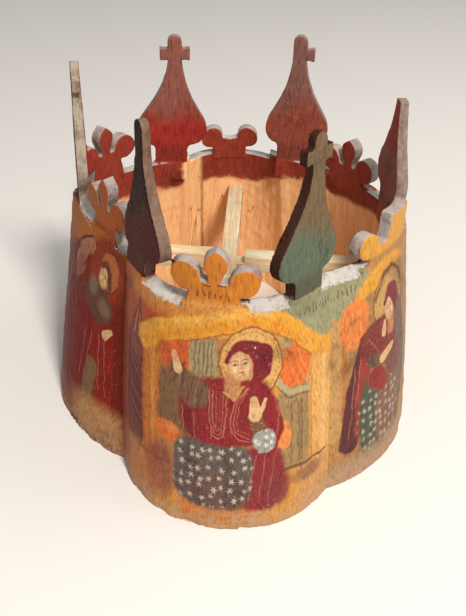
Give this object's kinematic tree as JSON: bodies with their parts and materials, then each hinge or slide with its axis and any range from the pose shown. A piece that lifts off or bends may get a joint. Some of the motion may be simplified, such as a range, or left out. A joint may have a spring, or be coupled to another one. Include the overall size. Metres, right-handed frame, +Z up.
{
  "type": "bridal crown",
  "caption": "Carved and painted wooden bridal crown: a flared lobed wall with tall onion-shaped spires and small three-lobed leaves on its rim, and two thin battens across the inside.",
  "frame": {"origin": "middle of the crown's footprint, on the surface that it stands on", "axes": "+Z up; -Y towards the front lobe; +Y towards the back; +X to the right as seen from the front"},
  "size_m": [0.2084, 0.2544, 0.189],
  "materials": {
    "painted_wood": "worn egg tempera under old varnish over carved wood, in ochre, maroon, brick red and grey-green, bare at the edges",
    "pale_batten_wood": "bare sawn softwood"
  },
  "bodies": {
    "root": {"carved_crown": "painted_wood", "batten_front_back": "pale_batten_wood", "batten_side_to_side": "pale_batten_wood"}
  },
  "joints": []
}
